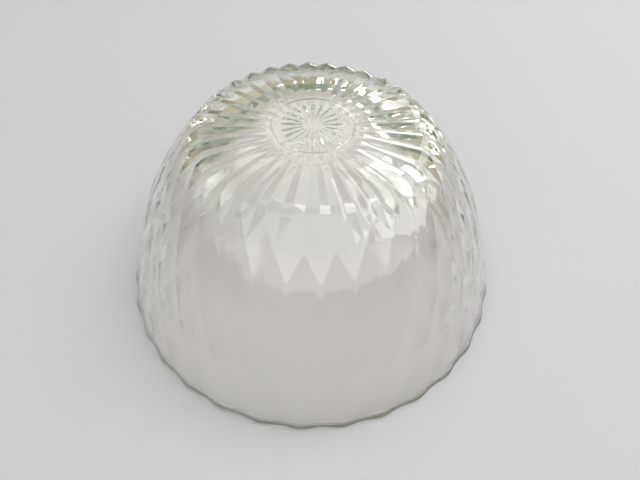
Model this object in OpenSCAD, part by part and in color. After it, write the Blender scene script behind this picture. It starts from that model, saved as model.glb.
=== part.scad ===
// A deep serving bowl of pressed glass, upside down: the rim lies on z = 0 and the foot faces up.
// The inside is smooth. The outside carries a lattice of flat diamonds, a fluted base and a star.

/* [Bowl] */
// Diameter over the crests of the scalloped rim
rim_d = 230; // [200:1:260]
// Height from the rim to the foot
bowl_h = 110; // [100:1:125]
// Radius at which the wall meets the shoulder, as a share of the rim's radius
shoulder_share = 0.532; // [0.5:0.004:0.56]
// Slope of the wall where it meets the shoulder, in degrees from level
shoulder_slope = 47; // [42:1:52]
// Radius of the shoulder's rounding
shoulder_round = 11.5; // [8:0.5:14]

/* [Glass] */
// Thickness of the lip
lip_t = 3.6; // [3:0.1:4.5]
// Thickness of the wall, over the ridges
wall_t = 6.5; // [5.6:0.1:7.5]
// Thickness of the floor under the foot
floor_t = 8; // [7:0.5:12]

/* [Cut pattern] */
// Number of flutes round the base and of scallops round the rim
flutes = 32; // [24:1:40]
// Angle from +X to the middle of the first flute
first_flute = 8.5; // [0:0.5:11]
// Half rows of diamonds between the rim and the shoulder
half_rows = 6; // [4:2:8]
// How much a diamond is dished below flat
dish = 0.25; // [0:0.05:0.6]
// Depth of a flute, as a share of its width
flute_share = 0.15; // [0.08:0.01:0.18]
// How far a scallop of the rim swings in and out
scallop = 0.8; // [0.4:0.1:1]

/* [Foot] */
// Radius at which the flutes begin
flat_r = 23.5; // [22:0.5:28]
// Radius of the thin ring line round the star
ring_r = 21; // [19:0.5:21.5]
// Number of rays in the star
star_rays = 20; // [12:1:24]
// Radius at which the rays begin
star_inner_r = 5.2; // [4:0.2:7]
// Radius at which the rays end
star_outer_r = 13.2; // [12:0.2:14]
// Radius of the circle of dimples round the rays
dimple_ring_r = 15; // [14.6:0.1:16]

/* [Hidden] */

pitch = 360 / flutes;
columns = 4 * flutes;
shoulder_rings = 4;
flute_rings = 5;
lip_round = 0.8;
ray_start_r = 0.25;
ray_end_r = 0.9;
dimple_r = 1.1;
dimple_lift = 0.3;
ring_line = 0.5;
inner_steps = 14;
corner_steps = 8;
corner_start = 0.7;

// The wall's curve runs from the rim (t = 0) to the shoulder (t = 1), as [radius, height]. A chord
// between two ridges lies inside them, so the curve starts a little outside the mean of the scallops.
rim_r = rim_d / 2;
mean_rim_r = (rim_r - scallop) * 2 / (1 + cos(pitch / 2));
shoulder_r = rim_r * shoulder_share;
shoulder_way = [cos(shoulder_slope), -sin(shoulder_slope)];
shoulder_hub = [shoulder_r - shoulder_round * sin(shoulder_slope), bowl_h - shoulder_round];
shoulder_at = shoulder_hub + shoulder_round * [sin(shoulder_slope), cos(shoulder_slope)];
wall_ctrl = [
    [mean_rim_r, 0],
    [0.8825 * rim_r, 0.372 * bowl_h],
    shoulder_at + 0.468 * rim_r * shoulder_way,
    shoulder_at
];

function blend(p, t) =
    pow(1 - t, 3) * p[0] + 3 * t * pow(1 - t, 2) * p[1] + 3 * t * t * (1 - t) * p[2] + pow(t, 3) * p[3];
function unit(a) = a / norm(a);
function wall_at(t) = blend(wall_ctrl, t);
function wall_along(t) = unit(wall_at(min(t + 0.005, 1)) - wall_at(max(t - 0.005, 0)));
function wall_out(t) = [wall_along(t)[1], -wall_along(t)[0]];

// Heights on the wall are counted in half rows from the rim, longer towards the rim. The lattice
// goes on past the rim and the shoulder as its own mirror image.
function row_t(row) = let (v = row / half_rows) v + 0.12 * sin(180 * v) - 0.03 * sin(360 * v);
function row_at(row) =
    row < 0 ? 2 * wall_at(0) - row_at(-row)
    : row > half_rows ? 2 * wall_at(1) - row_at(2 * half_rows - row)
    : wall_at(row_t(row));
function around(col, p) =
    let (a = first_flute + pitch * col) [p[0] * cos(a), p[0] * sin(a), p[1]];

// Two families of ridges cross at the nodes of the lattice. Family a counts 2 col + row, family b
// counts 2 col - row, and a ridge runs wherever its count is odd. A diamond spans four nodes.
function node_point(a, b) = around((a + b) / 4, row_at((a - b) / 2));
function ridge_below(x) = 2 * floor((x - 1) / 2) + 1;
function diamond(col, row) =
    let (a = 2 * col + row, b = 2 * col - row, a0 = ridge_below(a), b0 = ridge_below(b),
        s = (a - a0) / 2, t = (b - b0) / 2)
    (1 - s) * (1 - t) * node_point(a0, b0) + s * (1 - t) * node_point(a0 + 2, b0)
        + (1 - s) * t * node_point(a0, b0 + 2) + s * t * node_point(a0 + 2, b0 + 2);

// Each diamond is a little dished: 0 on a ridge, 1 midway. In the top half row the flutes run out on
// the wall instead, each to a point between two diamonds.
function from_ridge(x) = abs(1 - (x - 2 * floor(x / 2)));
function off_middle(col) = 2 * abs(col - round(col));
function hollow(x) = x * (2 - x);
function flute_depth(r) = flute_share * r * pitch * PI / 180;
function cut_depth(col, row) =
    let (a = from_ridge(2 * col + row), b = from_ridge(2 * col - row))
    off_middle(col) <= row - half_rows + 1 ? flute_depth(shoulder_r) * min(a, b)
    : dish * min(1, row, half_rows - row) * hollow(a) * hollow(b);
function scallop_at(col, row) = scallop * cos(360 * col) * pow(max(0, 1 - row / 1.5), 2);
function wall_point(col, row) =
    diamond(col, row) - cut_depth(col, row) * around(col, wall_out(row_t(row)))
        + around(col, [scallop_at(col, row), 0]);

// A flute is a groove with two flat sides between two ridges. It comes over the rounded shoulder,
// grows shallower towards the foot and ends in a round nose.
function chord(col, p) =
    let (left = floor(col - 0.5) + 0.5, s = col - left)
    pow(1 - s, 2) * around(left, p) + 2 * s * (1 - s) * around(left + 0.5, p)
        + s * s * around(left + 1, p);
function nose(share) = share < 0.7 ? 1 : sqrt(max(0, 1 - pow((share - 0.7) / 0.3, 2)));
function shoulder_point(col, share) =
    let (slope = shoulder_slope * (1 - share), out = [sin(slope), cos(slope)],
        p = shoulder_hub + shoulder_round * out)
    chord(col, p) - flute_depth(p[0]) * (1 - off_middle(col)) * around(col, out);
function flute_point(col, share) =
    let (r = shoulder_hub[0] + (flat_r - shoulder_hub[0]) * share)
    chord(col, [r, bowl_h - flute_depth(r) * (1 - off_middle(col)) * nose(share)]);

// Rings of the outside, from the edge of the lip up to the flat of the foot.
cols = [for (i = [0 : columns - 1]) i / 4];
outside = concat(
    [[for (c = cols) wall_point(c, 0) - around(c, [lip_round, 0])]],
    [[for (c = cols) wall_point(c, 0) + [0, 0, lip_round]]],
    [for (k = [1 : 2 * half_rows]) [for (c = cols) wall_point(c, k / 2)]],
    [for (k = [1 : shoulder_rings]) [for (c = cols) shoulder_point(c, k / shoulder_rings)]],
    [for (k = [1 : flute_rings]) [for (c = cols) flute_point(c, k / flute_rings)]]
);

// Each quad is split along the ridge that crosses it.
function split(ring, i) =
    let (a = ring * columns + i, b = ring * columns + (i + 1) % columns, c = b + columns, d = a + columns)
    (ring + i) % 2 == 1 ? [[a, d, c], [a, c, b]] : [[a, d, b], [b, d, c]];

module cut_glass() {
    last = len(outside) - 1;
    points = [for (ring = outside) each ring];
    sides = [for (ring = [0 : last - 1]) for (i = [0 : columns - 1]) each split(ring, i)];
    lip = [for (i = [0 : columns - 1]) i];
    flat = [for (i = [columns - 1 : -1 : 0]) last * columns + i];
    polyhedron(points, concat([lip], sides, [flat]), convexity = 6);
}

// Smooth inside: it follows the wall, rounds the corner and runs level under the foot.
function inner_wall(t) =
    wall_at(t) - wall_out(t) * (lip_t + (wall_t - lip_t) * min(1, t / 0.3));
function corner(p, q, e, t) = pow(1 - t, 2) * p + 2 * t * (1 - t) * q + t * t * e;

module hollow_inside() {
    level = bowl_h - floor_t;
    from = inner_wall(corner_start);
    slope = wall_along(corner_start);
    knee = from + slope * (level - from[1]) / slope[1];
    end = [knee[0] - norm(knee - from), level];
    wall = [for (k = [1 : inner_steps]) inner_wall(corner_start * k / inner_steps)];
    bend = [for (k = [1 : corner_steps]) corner(from, knee, end, k / corner_steps)];
    lip = inner_wall(0);
    rotate_extrude($fn = 128)
        polygon(concat([[0, -1], [lip[0] + lip_round, -1], [lip[0] + lip_round, 0], [lip[0], lip_round]],
            wall, bend, [[0, level]]));
}

// One ray of the star: a groove that widens and deepens outwards.
module ray() {
    translate([star_inner_r, 0, bowl_h])
        rotate([0, 90, 0])
            cylinder(h = star_outer_r - star_inner_r, r1 = ray_start_r, r2 = ray_end_r, $fn = 24);
}

module star() {
    for (k = [0 : star_rays - 1])
        rotate(90 + k * 360 / star_rays) {
            ray();
            translate([dimple_ring_r, 0, bowl_h + dimple_lift])
                sphere(r = dimple_r, $fn = 24);
        }
}

module ring_groove() {
    rotate_extrude($fn = 96)
        polygon([[ring_r - ring_line, bowl_h + 0.01], [ring_r, bowl_h - ring_line],
            [ring_r + ring_line, bowl_h + 0.01]]);
}

module bowl() {
    color([0.80, 0.87, 0.83])
        difference() {
            cut_glass();
            hollow_inside();
            star();
            ring_groove();
        }
}

bowl();
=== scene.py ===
import math

import bpy
import numpy as np
from mathutils import Matrix, Vector


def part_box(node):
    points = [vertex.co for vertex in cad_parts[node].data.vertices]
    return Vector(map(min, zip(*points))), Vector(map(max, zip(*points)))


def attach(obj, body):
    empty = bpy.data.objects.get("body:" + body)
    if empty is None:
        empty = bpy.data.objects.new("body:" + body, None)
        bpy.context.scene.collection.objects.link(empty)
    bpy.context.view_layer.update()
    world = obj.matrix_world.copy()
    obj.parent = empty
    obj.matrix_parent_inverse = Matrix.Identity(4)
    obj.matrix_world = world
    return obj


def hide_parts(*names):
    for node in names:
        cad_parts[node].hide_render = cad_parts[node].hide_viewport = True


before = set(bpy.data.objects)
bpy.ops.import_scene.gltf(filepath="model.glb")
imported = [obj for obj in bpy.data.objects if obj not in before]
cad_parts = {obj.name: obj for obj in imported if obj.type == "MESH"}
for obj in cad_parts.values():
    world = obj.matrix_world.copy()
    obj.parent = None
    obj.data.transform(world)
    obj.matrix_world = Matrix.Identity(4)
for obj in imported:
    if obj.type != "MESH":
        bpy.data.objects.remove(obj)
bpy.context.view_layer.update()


# The camera looks down over the upturned bowl from its front, from 33 cm away, as a person leaning
# over a table sees it. The bowl sits a little off the middle of the view.
VIEW_HEIGHT_DEG = 53.575
VIEW_DISTANCE_SHARE = 2.882
TILT_UP_DEG = 1.827
TURN_RIGHT_DEG = 0.914
ROLL_DEG = 0.354
LENS_MM = 27.6
NEAREST_SEEN = 0.01

bowl_low, bowl_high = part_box("bowl")
height_rad = math.radians(VIEW_HEIGHT_DEG)
view_distance = VIEW_DISTANCE_SHARE * (bowl_high[0] - bowl_low[0]) / 2
eye = Vector((0, -math.cos(height_rad), math.sin(height_rad))) * view_distance
aim = (-eye).to_track_quat("-Z", "Y").to_matrix()
tilt = Matrix.Rotation(math.radians(TILT_UP_DEG), 3, "X")
turn = Matrix.Rotation(-math.radians(TURN_RIGHT_DEG), 3, "Y")
roll = Matrix.Rotation(math.radians(ROLL_DEG), 3, "Z")
camera_data = bpy.data.cameras.new("camera")
camera_data.lens = LENS_MM
camera_data.clip_start = NEAREST_SEEN
camera = bpy.data.objects.new("camera", camera_data)
camera.matrix_world = Matrix.Translation(eye) @ (aim @ tilt @ turn @ roll).to_4x4()
bpy.context.scene.collection.objects.link(camera)
bpy.context.scene.camera = camera


# The wall is soda-lime glass, pressed in an iron mould whose cutter left a lattice of long flat
# diamonds: two families of slanting ridges that cross at 32 places round the bowl. Its edge is
# scalloped, and it lies on the table.
MM = 0.001
FLUTES = 32
FIRST_FLUTE_DEG = 8.5
HALF_ROWS = 6
STEPS = 12
SCALLOP = 0.8 * MM
POLISHED_AWAY = 0.05 * MM
DISH = 0.25 * MM
FLUTE_SHARE = 0.15
SHOULDER_SHARE = 0.532
SHOULDER_ROUND = 11.5 * MM
SHOULDER_SLOPE_DEG = 47
MID_WALL_R = 0.8825
MID_WALL_H = 0.372
UPPER_WALL_RUN = 0.468
LOW_ROWS_LONGER = 0.12
MID_ROWS_EVEN = 0.03
SCALLOP_ROWS = 1.5
CURVE_STEP = 0.005

shoulder_slope = math.radians(SHOULDER_SLOPE_DEG)
pitch = 2 * math.pi / FLUTES
crest_off = pitch - math.radians(FIRST_FLUTE_DEG)
rim_r = (bowl_high[0] - bowl_low[0]) / 2 / math.cos(crest_off) - POLISHED_AWAY
bowl_h = bowl_high[2] - bowl_low[2]
mean_rim_r = (rim_r - SCALLOP) * 2 / (1 + math.cos(pitch / 2))
shoulder_r = rim_r * SHOULDER_SHARE
shoulder_out = np.array([math.sin(shoulder_slope), math.cos(shoulder_slope)])
shoulder_hub = np.array([shoulder_r - SHOULDER_ROUND * shoulder_out[0], bowl_h - SHOULDER_ROUND])
shoulder_at = shoulder_hub + SHOULDER_ROUND * shoulder_out
wall_ctrl = [
    np.array([mean_rim_r, 0]),
    np.array([MID_WALL_R * rim_r, MID_WALL_H * bowl_h]),
    shoulder_at + UPPER_WALL_RUN * rim_r * np.array([shoulder_out[1], -shoulder_out[0]]),
    shoulder_at,
]
steps_round = np.arange(2 * FLUTES * STEPS)
columns = steps_round / (2 * STEPS)
off_middle = 2 * abs(columns - np.round(columns))


def wall_at(t):
    weights = (1 - t) ** 3, 3 * t * (1 - t) ** 2, 3 * t * t * (1 - t), t ** 3
    return sum(weight * point for weight, point in zip(weights, wall_ctrl))


def wall_along(t):
    step = wall_at(min(t + CURVE_STEP, 1)) - wall_at(max(t - CURVE_STEP, 0))
    return step / np.hypot(*step)


def wall_out(t):
    r_step, z_step = wall_along(t)
    return np.array([z_step, -r_step])


def row_t(row):
    v = row / HALF_ROWS
    return v + LOW_ROWS_LONGER * math.sin(math.pi * v) - MID_ROWS_EVEN * math.sin(2 * math.pi * v)


def around(column, r, z):
    angle = math.radians(FIRST_FLUTE_DEG) + pitch * np.asarray(column, dtype=float)
    return np.stack([r * np.cos(angle), r * np.sin(angle), z + 0 * angle], axis=-1)


lattice = [wall_at(row_t(row)) for row in range(HALF_ROWS + 1)]
lattice = np.array([2 * lattice[0] - lattice[1]] + lattice + [2 * lattice[-1] - lattice[-2]])


def flat_diamonds(k):
    span = 2 * STEPS
    a, b = steps_round + k, steps_round - k
    a_ridge = (a - STEPS) // span * span + STEPS
    b_ridge = (b - STEPS) // span * span + STEPS
    s, t = (a - a_ridge) / span, (b - b_ridge) / span
    total = 0
    for a_step, a_weight in ((0, 1 - s), (span, s)):
        for b_step, b_weight in ((0, 1 - t), (span, t)):
            a_end, b_end = a_ridge + a_step, b_ridge + b_step
            node = lattice[(a_end - b_end) // span + 1]
            corner = around((a_end + b_end) / (4 * STEPS), node[:, 0], node[:, 1])
            total = total + (a_weight * b_weight)[:, None] * corner
    return total


def from_ridge(x):
    return abs(1 - np.mod(x, 2))


def dished(x):
    return x * (2 - x)


def flute_depth(r):
    return FLUTE_SHARE * r * pitch


wall_rings = []
for k in range(HALF_ROWS * STEPS + 1):
    row = k / STEPS
    from_a, from_b = from_ridge(2 * columns + row), from_ridge(2 * columns - row)
    depth = DISH * min(1, row, HALF_ROWS - row) * dished(from_a) * dished(from_b)
    in_run_out = off_middle <= row - HALF_ROWS + 1
    depth = np.where(in_run_out, flute_depth(shoulder_r) * np.minimum(from_a, from_b), depth)
    swing = SCALLOP * np.cos(2 * math.pi * columns) * max(0, 1 - row / SCALLOP_ROWS) ** 2
    out_r, out_z = wall_out(row_t(row))
    wall_rings.append(flat_diamonds(k) + around(columns, swing - out_r * depth, -out_z * depth))

# The base is part of the same pressing. Each flute is a shallow groove with two flat sides between
# straight ridges. It runs out to a point on the wall, and it ends in a round nose before the foot.
FLAT_R = 23.5 * MM
NOSE_START = 0.7
SHOULDER_RINGS = 16
FLUTE_RINGS = 48

left_ridge = np.floor(columns - 0.5) + 0.5
ridge_share = columns - left_ridge
groove = 1 - off_middle


def between_ridges(r, z):
    s = ridge_share[:, None]
    ends = (1 - s) ** 2 * around(left_ridge, r, z) + s ** 2 * around(left_ridge + 1, r, z)
    return ends + 2 * s * (1 - s) * around(left_ridge + 0.5, r, z)


base_rings = []
for k in range(1, SHOULDER_RINGS + 1):
    share = k / SHOULDER_RINGS
    slope = shoulder_slope * (1 - share)
    out_r, out_z = math.sin(slope), math.cos(slope)
    r, z = shoulder_hub + SHOULDER_ROUND * np.array([out_r, out_z])
    depth = flute_depth(r) * groove
    base_rings.append(between_ridges(r, z) - around(columns, out_r * depth, out_z * depth))
for k in range(1, FLUTE_RINGS + 1):
    share = k / FLUTE_RINGS
    r = shoulder_hub[0] + (FLAT_R - shoulder_hub[0]) * share
    nose = math.sqrt(max(0, 1 - (max(0, share - NOSE_START) / (1 - NOSE_START)) ** 2))
    depth = flute_depth(r) * groove * nose
    base_rings.append(between_ridges(r, bowl_h) - around(columns, 0, depth))

# The foot is the level disc that the bowl stands on. The mould's plug presses a thin ring line near
# its edge and a star into it: tapered rays round a plain middle, and a round dimple past each ray.
RING_R = 21 * MM
RING_LINE = 0.5 * MM
STAR_RAYS = 20
RAY_START = 5.2 * MM
RAY_END = 13.2 * MM
RAY_NARROW = 0.25 * MM
RAY_WIDE = 0.9 * MM
DIMPLE_AT = 15 * MM
DIMPLE_R = 1.1 * MM
DIMPLE_LIFT = 0.3 * MM
FOOT_STEP = 0.3 * MM
PLAIN_R = 4.0 * MM

ray_turn = 2 * math.pi / STAR_RAYS
round_angle = math.radians(FIRST_FLUTE_DEG) + pitch * columns
from_ray = np.mod(round_angle - math.pi / 2 + ray_turn / 2, ray_turn) - ray_turn / 2
foot_rings = []
for r in np.arange(FLAT_R - FOOT_STEP, PLAIN_R, -FOOT_STEP):
    line = max(0, RING_LINE - abs(r - RING_R))
    along, across = r * np.cos(from_ray), r * np.sin(from_ray)
    share = np.clip((along - RAY_START) / (RAY_END - RAY_START), 0, 1)
    half_width = RAY_NARROW + (RAY_WIDE - RAY_NARROW) * share
    past_end = np.clip(along - RAY_END, 0, None) + np.clip(RAY_START - along, 0, None)
    ray = np.sqrt(np.clip(half_width ** 2 - across ** 2 - past_end ** 2, 0, None))
    dimple = np.sqrt(np.clip(DIMPLE_R ** 2 - across ** 2 - (along - DIMPLE_AT) ** 2, 0, None))
    depth = np.maximum(np.maximum(ray, dimple - DIMPLE_LIFT), line)
    foot_rings.append(around(columns, r, bowl_h - depth))

# The plunger leaves the inside smooth: it follows the wall, rounds the corner and runs level under
# the foot. The lip between the inside and the outside is rounded by the flame.
LIP_T = 3.6 * MM
WALL_T = 6.5 * MM
FLOOR_T = 8 * MM
LIP_ROUND = 1.2 * MM
FULL_WALL_FROM = 0.3
CORNER_START = 0.7
INSIDE_STEPS = 48
CORNER_STEPS = 24
LIP_STEPS = 10


def inner_wall(t):
    return wall_at(t) - wall_out(t) * (LIP_T + (WALL_T - LIP_T) * min(1, t / FULL_WALL_FROM))


inner_level = bowl_h - FLOOR_T
corner_from = inner_wall(CORNER_START)
corner_way = wall_along(CORNER_START)
knee = corner_from + corner_way * (inner_level - corner_from[1]) / corner_way[1]
corner_to = np.array([knee[0] - np.hypot(*(knee - corner_from)), inner_level])
inner_rings = [around(columns, PLAIN_R, inner_level)]
for k in range(CORNER_STEPS, -1, -1):
    t = k / CORNER_STEPS
    bend = (1 - t) ** 2 * corner_from + 2 * t * (1 - t) * knee + t ** 2 * corner_to
    inner_rings.append(around(columns, *bend))
for k in range(INSIDE_STEPS - 1, 0, -1):
    inner_rings.append(around(columns, *inner_wall(CORNER_START * k / INSIDE_STEPS)))

lip_out_r = np.hypot(wall_rings[0][:, 0], wall_rings[0][:, 1])
lip_in_r = inner_wall(0)[0]
lip_rings = []
for k in range(LIP_STEPS):
    angle = math.pi * k / LIP_STEPS
    r = (lip_in_r + lip_out_r) / 2 + (lip_in_r - lip_out_r) / 2 * math.cos(angle)
    lip_rings.append(around(columns, r, LIP_ROUND * (1 - math.sin(angle))))
wall_rings[0] = around(columns, lip_out_r, LIP_ROUND)

# All of it is one closed skin of glass. Each quad is split along the ridge that crosses it.
rings = np.stack(inner_rings + lip_rings + wall_rings + base_rings + foot_rings)
ring_count, round_count = rings.shape[:2]
ring_no, step_no = np.meshgrid(np.arange(ring_count - 1), steps_round, indexing="ij")
a = ring_no * round_count + step_no
b = ring_no * round_count + (step_no + 1) % round_count
d, c = a + round_count, b + round_count
row_no = ring_no - len(inner_rings) - len(lip_rings)
slants_back = (step_no + row_no) % (2 * STEPS) == STEPS - 1
first = np.where(slants_back[..., None], np.stack([a, b, d], -1), np.stack([a, b, c], -1))
second = np.where(slants_back[..., None], np.stack([b, c, d], -1), np.stack([a, c, d], -1))
next_step = (steps_round + 1) % round_count
last_ring = (ring_count - 1) * round_count
inner_middle = np.full(round_count, ring_count * round_count)
inner_fan = np.stack([inner_middle, next_step, steps_round], -1)
foot_fan = np.stack([last_ring + steps_round, last_ring + next_step, inner_middle + 1], -1)
faces = np.concatenate([first.reshape(-1, 3), second.reshape(-1, 3), inner_fan, foot_fan])
points = np.concatenate([rings.reshape(-1, 3), [[0, 0, inner_level], [0, 0, bowl_h]]])

skin = bpy.data.meshes.new("bowl_glass")
skin.from_pydata(points.tolist(), [], faces.tolist())
skin.shade_smooth()
bowl = bpy.data.objects.new("bowl_glass", skin)
bpy.context.scene.collection.objects.link(bowl)


class Shade:
    """A shader value. Sums on it add Math nodes, and node() adds any other node."""

    def __init__(self, tree, socket=None):
        self.tree, self.socket = tree, socket

    def node(self, kind, settings, inputs, output=0):
        made = self.tree.nodes.new(kind)
        for name, value in settings.items():
            if name == "stops":
                ramp = made.color_ramp
                while len(ramp.elements) < len(value):
                    ramp.elements.new(1)
                for element, (place, colour) in zip(ramp.elements, value):
                    element.position, element.color = place, (*colour, 1)
            else:
                setattr(made, name, value)
        for name, value in inputs.items():
            if isinstance(value, Shade):
                self.tree.links.new(value.socket, made.inputs[name])
            else:
                made.inputs[name].default_value = value
        return Shade(self.tree, made.outputs[output])

    def maths(self, operation, left, right=0.0, clamped=False):
        settings = {"operation": operation, "use_clamp": clamped}
        return self.node("ShaderNodeMath", settings, {0: left, 1: right})

    def __add__(self, other):
        return self.maths("ADD", self, other)

    def __radd__(self, other):
        return self.maths("ADD", other, self)

    def __sub__(self, other):
        return self.maths("SUBTRACT", self, other)

    def __rsub__(self, other):
        return self.maths("SUBTRACT", other, self)

    def __mul__(self, other):
        return self.maths("MULTIPLY", self, other)

    def __rmul__(self, other):
        return self.maths("MULTIPLY", other, self)

    def clamped(self):
        return self.maths("ADD", self, 0.0, clamped=True)


# The glass is clear, faintly warm, with the grey-green of iron where light goes far through it. The
# mould leaves a slow ripple, and the foot and the lip are finely scuffed where they meet the table.
RIPPLE_SCALE = 90
RIPPLE_HEIGHT = 0.10 * MM
PEEL_SCALE = 700
PEEL_SHARE = 0.04
SCUFF_SCALE = 1600
SCUFF_BAND = 1.5 * MM
SCUFF_CONTRAST = 4
SCUFF_CUT = 1.7
SMOOTH = 0.012
SCUFFED = 0.16
WARM = (0.943, 0.926, 0.912, 1)
CLEARER = (0.963, 0.948, 0.935, 1)
IRON = (0.68, 0.79, 0.66, 1)
IRON_DENSITY = 13.0
GLASS_IOR = 1.5

glass = bpy.data.materials.new("clear_glass")
glass.use_nodes = True
tree = glass.node_tree
shader = tree.nodes["Principled BSDF"]
start = Shade(tree)
place = start.node("ShaderNodeTexCoord", {}, {}, "Object")
ripple = start.node("ShaderNodeTexNoise", {}, {
    "Vector": place, "Scale": RIPPLE_SCALE, "Detail": 1.0})
peel = start.node("ShaderNodeTexNoise", {}, {
    "Vector": place, "Scale": PEEL_SCALE, "Detail": 0.0})
scuff = start.node("ShaderNodeTexNoise", {}, {
    "Vector": place, "Scale": SCUFF_SCALE, "Detail": 2.0})
height = start.node("ShaderNodeSeparateXYZ", {}, {"Vector": place}, "Z")
near_foot = ((height - (bowl_h - SCUFF_BAND)) * (1 / SCUFF_BAND)).clamped()
near_lip = (1 - height * (1 / SCUFF_BAND)).clamped()
worn = ((near_foot + near_lip) * (scuff * SCUFF_CONTRAST - SCUFF_CUT)).clamped()
roughness = SMOOTH + worn * SCUFFED
tint = start.node("ShaderNodeMix", {"data_type": "RGBA"},
                  {"Factor": ripple, "A": WARM, "B": CLEARER}, "Result")
press = start.node("ShaderNodeBump", {}, {
    "Height": ripple + PEEL_SHARE * peel, "Distance": RIPPLE_HEIGHT, "Strength": 1.0})
tree.links.new(tint.socket, shader.inputs["Base Color"])
tree.links.new(roughness.socket, shader.inputs["Roughness"])
tree.links.new(press.socket, shader.inputs["Normal"])
shader.inputs["IOR"].default_value = GLASS_IOR
shader.inputs["Transmission Weight"].default_value = 1
iron = start.node("ShaderNodeVolumeAbsorption", {}, {"Color": IRON, "Density": IRON_DENSITY})
tree.links.new(iron.socket, tree.nodes["Material Output"].inputs["Volume"])
skin.materials.append(glass)
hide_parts("bowl")
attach(bowl, "root")


# The bowl lies on a plain sheet of matt paper, large enough to fill the view. The paper is a mid
# grey, and the strong light makes it pale.
FLOOR_SIDE = 3.0
FLOOR_GAP = 0.3 * MM
PAPER = (0.28, 0.276, 0.284, 1)
PAPER_ROUGHNESS = 0.9
PAPER_SHEEN = 0.1

floor_mesh = bpy.data.meshes.new("floor")
side = FLOOR_SIDE / 2
floor_corners = [(x * side, y * side, -FLOOR_GAP) for x, y in ((-1, -1), (1, -1), (1, 1), (-1, 1))]
floor_mesh.from_pydata(floor_corners, [], [(0, 1, 2, 3)])
floor = bpy.data.objects.new("floor", floor_mesh)
bpy.context.scene.collection.objects.link(floor)
paper = bpy.data.materials.new("pale_paper")
paper.use_nodes = True
paper_shader = paper.node_tree.nodes["Principled BSDF"]
paper_shader.inputs["Base Color"].default_value = PAPER
paper_shader.inputs["Roughness"].default_value = PAPER_ROUGHNESS
paper_shader.inputs["Specular IOR Level"].default_value = PAPER_SHEEN
floor_mesh.materials.append(paper)

# The studio is a room with warm walls that grows lighter towards the ceiling. Broad softboxes hang
# in front and behind. A grey flag stands at the left and a brown one at the right. The edges of
# them all, mirrored in the glass, draw its facets.
WALLS_AND_CEILING = [(0.0, (0.46, 0.40, 0.29)), (0.42, (0.53, 0.465, 0.35)),
                     (0.58, (0.90, 0.90, 0.88)), (1.0, (2.0, 2.0, 1.95))]
FRONT_BOX = (2.9, 2.9, 2.9, 1)
BACK_BOX = (3.0, 2.95, 2.8, 1)
GREY_FLAG = (0.2, 0.19, 0.17, 1)
BROWN_FLAG = (0.16, 0.11, 0.07, 1)

world = bpy.data.worlds.new("studio")
bpy.context.scene.world = world
world.use_nodes = True
tree = world.node_tree
start = Shade(tree)
way = start.node("ShaderNodeTexCoord", {}, {}, "Generated")
right, back, up = [start.node("ShaderNodeSeparateXYZ", {}, {"Vector": way}, axis) for axis in "XYZ"]
left, front = -1 * right, -1 * back


# Each of them is bounded by edges: where it begins or ends, along which way, and how sharply.
def past(edge, way_along, sharpness):
    return ((way_along - edge) * sharpness).clamped()


def short_of(edge, way_along, sharpness):
    return ((edge - way_along) * sharpness).clamped()


in_front_box = past(0.05, front, 4) * past(0.28, up, 12) * short_of(0.9, up, 10)
in_back_box = past(0.2, back, 5) * past(0.55, up, 10) * short_of(0.92, up, 10)
in_grey_flag = past(0.55, left, 5) * short_of(0.6, up, 6)
in_brown_flag = past(0.8, right, 10) * short_of(0.38, up, 8)
room = start.node("ShaderNodeValToRGB", {"stops": WALLS_AND_CEILING}, {"Fac": up}, "Color")
for mask, colour in ((in_front_box, FRONT_BOX), (in_back_box, BACK_BOX),
                     (in_grey_flag, GREY_FLAG), (in_brown_flag, BROWN_FLAG)):
    room = start.node("ShaderNodeMix", {"data_type": "RGBA"},
                      {"Factor": mask, "A": room, "B": colour}, "Result")
tree.links.new(room.socket, tree.nodes["Background"].inputs["Color"])

# There are two area lights. A window stands low behind the bowl, to the right, and lights one side
# of each right-hand flute. A panel high at the right makes the paper lighter on that side. Each is
# placed by its distance in metres and its two angles in degrees, and faces the bowl.
LIGHTS = {
    "window": {"far": 2.0, "turn": 71, "height": 12, "wide": 0.55, "tall": 0.5, "watts": 5.5},
    "panel": {"far": 1.3, "turn": 15, "height": 50, "wide": 0.9, "tall": 0.7, "watts": 10},
}
for name, light in LIGHTS.items():
    lamp_data = bpy.data.lights.new(name, "AREA")
    lamp_data.shape = "RECTANGLE"
    lamp_data.size = light["wide"]
    lamp_data.size_y = light["tall"]
    lamp_data.energy = light["watts"]
    lamp = bpy.data.objects.new(name, lamp_data)
    lamp_turn, lamp_height = math.radians(light["turn"]), math.radians(light["height"])
    lamp.location = light["far"] * Vector((math.cos(lamp_height) * math.cos(lamp_turn),
                                           math.cos(lamp_height) * math.sin(lamp_turn),
                                           math.sin(lamp_height)))
    lamp.rotation_euler = (-lamp.location).to_track_quat("-Z", "Y").to_euler()
    bpy.context.scene.collection.objects.link(lamp)

# Light runs a long way round inside the glass before it comes out, so its paths are kept long, and
# they stay sharp after they meet the paper.
bpy.context.scene.view_settings.view_transform = "Standard"
light_paths = bpy.context.scene.cycles
light_paths.max_bounces = 32
light_paths.transmission_bounces = 24
light_paths.glossy_bounces = 16
light_paths.diffuse_bounces = 6
light_paths.blur_glossy = 0
